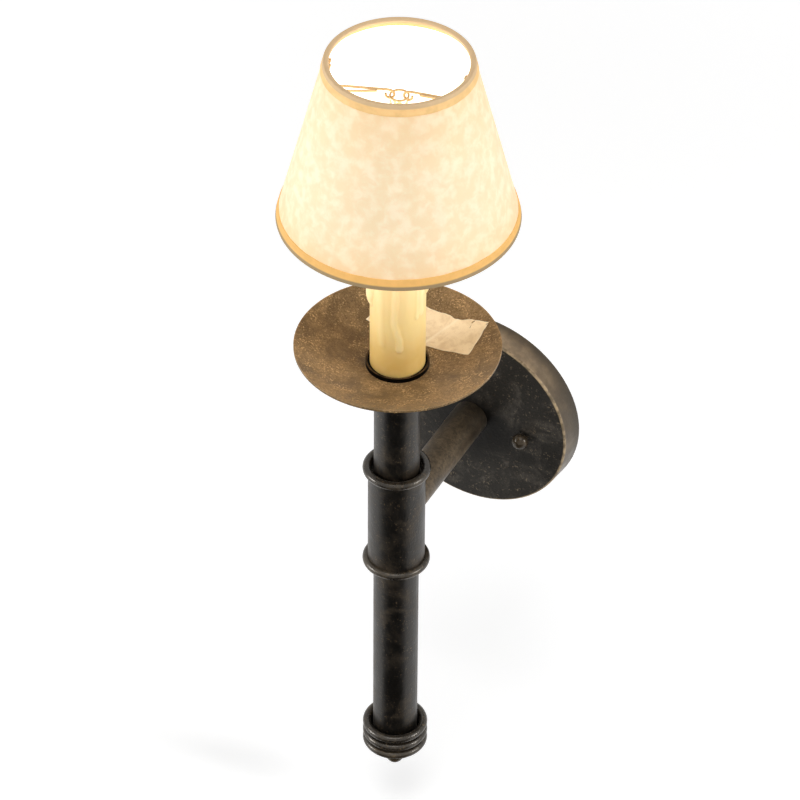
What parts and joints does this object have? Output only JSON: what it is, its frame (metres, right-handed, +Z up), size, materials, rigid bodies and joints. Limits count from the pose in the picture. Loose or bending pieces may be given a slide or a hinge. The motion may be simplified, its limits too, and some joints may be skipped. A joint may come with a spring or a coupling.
{
  "type": "wall_sconce",
  "caption": "Wall torch sconce: round canopy, straight arm, upright pipe stem with beaded sleeve and ringed finial, dished drip pan, candle cover, lit flame bulb and clip-on paper shade.",
  "frame": {"origin": "Centre of the canopy's wall face, on the arm's axis, in the wall's plane.", "axes": "+Y goes into the wall, away from the room. +Z is up, along the stem and the candle. +X is to the right for someone facing the wall."},
  "size_m": [0.1356, 0.1816, 0.5223],
  "materials": {
    "dark_bronze": "hand-rubbed dark bronze with fine gold speckle, worn bright at edges",
    "pan_bronze": "brown and gold flecked bronze, thin bright rim",
    "cup_bronze": "dark brown bronze",
    "ball_nut_bronze": "dark bronze",
    "zinc_steel": "zinc plated",
    "brass": "plain yellow brass",
    "clip_wire": "brass plated spring wire, dull",
    "green_screw": "green earthing screw",
    "black_phenolic": "moulded black phenolic",
    "fibre_liner": "dark insulating fibre",
    "candle_wax": "warm ivory candle cover with darker wax runs",
    "bulb_glass": "clear flame bulb, lit",
    "mount_glass": "clear stem glass",
    "filament": "filament and its supports, lit",
    "bulb_cement": "black glass insulator of the bulb base",
    "contact_tin": "soldered contact",
    "rim_steel": "zinc plated ring wire",
    "shade_paper": "mottled parchment paper, lit from inside",
    "shade_tape": "parchment tape folded over both edges",
    "label_paper": "aged, creased blank paper",
    "lead_black": "black insulation",
    "lead_white": "white insulation",
    "lead_green": "green insulation",
    "connector_orange": "orange moulded connector",
    "white_nylon": "white nylon",
    "plug_steel": "plain machined steel"
  },
  "bodies": {
    "sconce": {"canopy": "dark_bronze", "box_bar": "zinc_steel", "fixture_bar": "zinc_steel", "bracket_rivet": "zinc_steel", "ground_screw": "green_screw", "canopy_screws": "brass", "screw_lock_nuts": "zinc_steel", "ball_nuts": "ball_nut_bronze", "arm_pipe": "dark_bronze", "arm_plug": "plug_steel", "arm_nipple": "brass", "arm_washer": "zinc_steel", "arm_lock_nut": "brass", "nipple_bushing": "white_nylon", "stem_pipe": "dark_bronze", "stem_top_plug": "plug_steel", "stem_bottom_plug": "plug_steel", "sleeve": "dark_bronze", "sleeve_bead_upper": "dark_bronze", "sleeve_bead_lower": "dark_bronze", "sleeve_bush_upper": "plug_steel", "sleeve_bush_lower": "plug_steel", "finial_cup": "dark_bronze", "finial_ring_upper": "dark_bronze", "finial_ring_middle": "dark_bronze", "finial_ring_lower": "dark_bronze", "finial_cap": "dark_bronze", "finial_stud": "brass", "finial_ball": "dark_bronze", "drip_pan": "pan_bronze", "candle_cup": "cup_bronze", "paper_label": "label_paper", "top_nipple": "brass", "pan_lock_nut": "brass", "socket_bracket": "zinc_steel", "socket_body": "black_phenolic", "socket_screw_shell": "brass", "socket_contact": "brass", "socket_liner": "fibre_liner", "lead_hot": "lead_black", "lead_neutral": "lead_white", "lead_ground": "lead_green", "wire_connectors": "connector_orange"},
    "bulb_carrier": {"bulb_contact": "contact_tin"},
    "bulb": {"bulb_insulator": "bulb_cement", "bulb_base": "brass", "bulb_glass": "bulb_glass", "bulb_mount": "mount_glass", "bulb_filament": "filament"},
    "shade_carrier": {"clip_tip_ring": "clip_wire"},
    "shade": {"bulb_clip": "clip_wire", "shade_arm_left": "clip_wire", "shade_arm_right": "clip_wire", "shade_ring_upper": "rim_steel", "shade_ring_lower": "rim_steel", "shade_paper": "shade_paper", "shade_tape_upper": "shade_tape", "shade_tape_lower": "shade_tape"},
    "candle": {"candle_cover": "candle_wax"}
  },
  "joints": [
    {"name": "candle_lift", "type": "slide", "parent": "sconce", "child": "candle", "axis": [0, 0, 1], "range_m": [0, 0.012]},
    {"name": "bulb_rise", "type": "slide", "parent": "sconce", "child": "bulb_carrier", "axis": [0, 0, 1], "range_m": [0, 0.01016]},
    {"name": "bulb_turn", "type": "hinge", "parent": "bulb_carrier", "child": "bulb", "pos_m": [0, -0.1138, 0.2], "axis": [0, 0, 1], "range_deg": [0, 1440]},
    {"name": "shade_lift", "type": "slide", "parent": "bulb", "child": "shade_carrier", "axis": [0, 0, 1], "range_m": [0, 0.1]},
    {"name": "shade_turn", "type": "hinge", "parent": "shade_carrier", "child": "shade", "pos_m": [0, -0.1138, 0.3], "axis": [0, 0, 1], "continuous": true}
  ],
  "couplings": [
    {"joint": "bulb_rise", "follows": "bulb_turn", "m_per_rad": 0.00040425}
  ]
}
